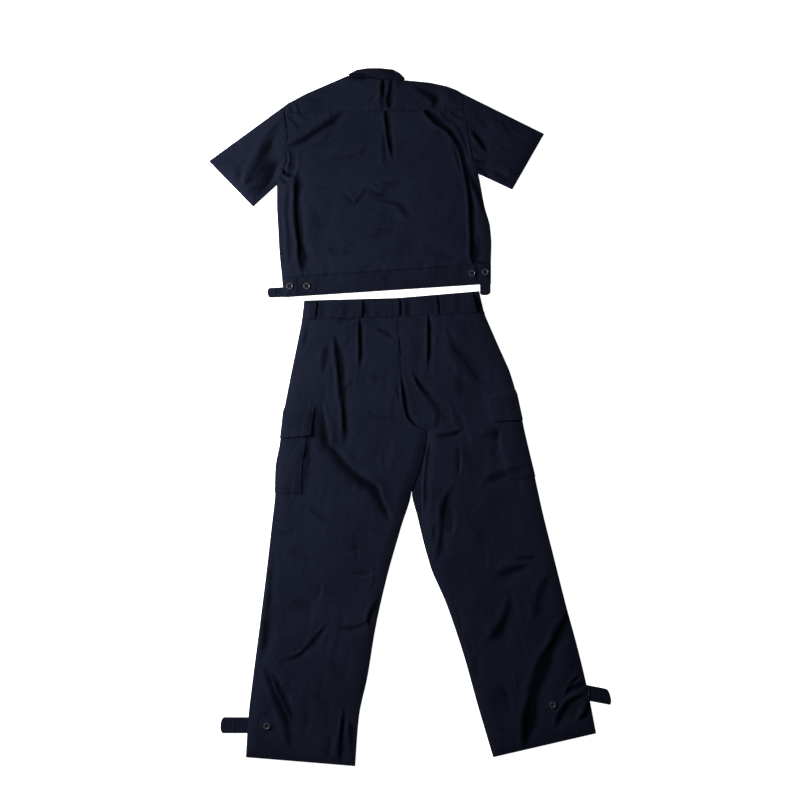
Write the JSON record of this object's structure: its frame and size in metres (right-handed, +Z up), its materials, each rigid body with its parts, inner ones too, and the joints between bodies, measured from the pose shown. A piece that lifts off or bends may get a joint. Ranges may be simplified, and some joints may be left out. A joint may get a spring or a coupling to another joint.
{
  "type": "combat training uniform",
  "caption": "Dark navy short-sleeved waist-length blouse and cargo trousers, laid flat back up, with hem band, adjuster tabs, flapped side pockets and buttons.",
  "frame": {"origin": "on the surface the set lies on, under the middle of its outline, which is near the crotch of the trousers", "axes": "+X from the wearer's left to their right, +Y from the trouser hems towards the collar, +Z up, out of the wearer's back"},
  "size_m": [0.9471, 1.6399, 0.0133],
  "materials": {
    "twill": "dark navy cotton and polyester twill, matt with a faint sheen along the ridges",
    "twill_doubled": "the same twill, doubled and top-stitched in navy thread",
    "button": "dark navy moulded resin, glossy rim"
  },
  "bodies": {
    "root": {"shirt_back": "twill", "shirt_yoke": "twill", "shirt_front_left": "twill", "shirt_front_right": "twill", "shirt_placket": "twill", "shirt_collar": "twill", "sleeve_left": "twill", "sleeve_right": "twill", "trouser_back_left": "twill", "trouser_back_right": "twill", "trouser_front_left": "twill", "trouser_front_right": "twill", "cargo_pocket_left": "twill", "cargo_pocket_right": "twill", "pocket_flap_left": "twill", "pocket_flap_right": "twill", "shirt_band_back": "twill_doubled", "shirt_band_front_left": "twill_doubled", "shirt_band_front_right": "twill_doubled", "shirt_tab_left": "twill_doubled", "shirt_tab_right": "twill_doubled", "waistband_back": "twill_doubled", "waistband_front_left": "twill_doubled", "waistband_front_right": "twill_doubled", "belt_loop_1": "twill_doubled", "belt_loop_2": "twill_doubled", "belt_loop_3": "twill_doubled", "belt_loop_4": "twill_doubled", "belt_loop_5": "twill_doubled", "hem_tab_left": "twill_doubled", "hem_tab_right": "twill_doubled", "shirt_button_1": "button", "shirt_button_2": "button", "shirt_button_3": "button", "shirt_button_4": "button", "hem_button_left": "button", "hem_button_right": "button"}
  },
  "joints": []
}
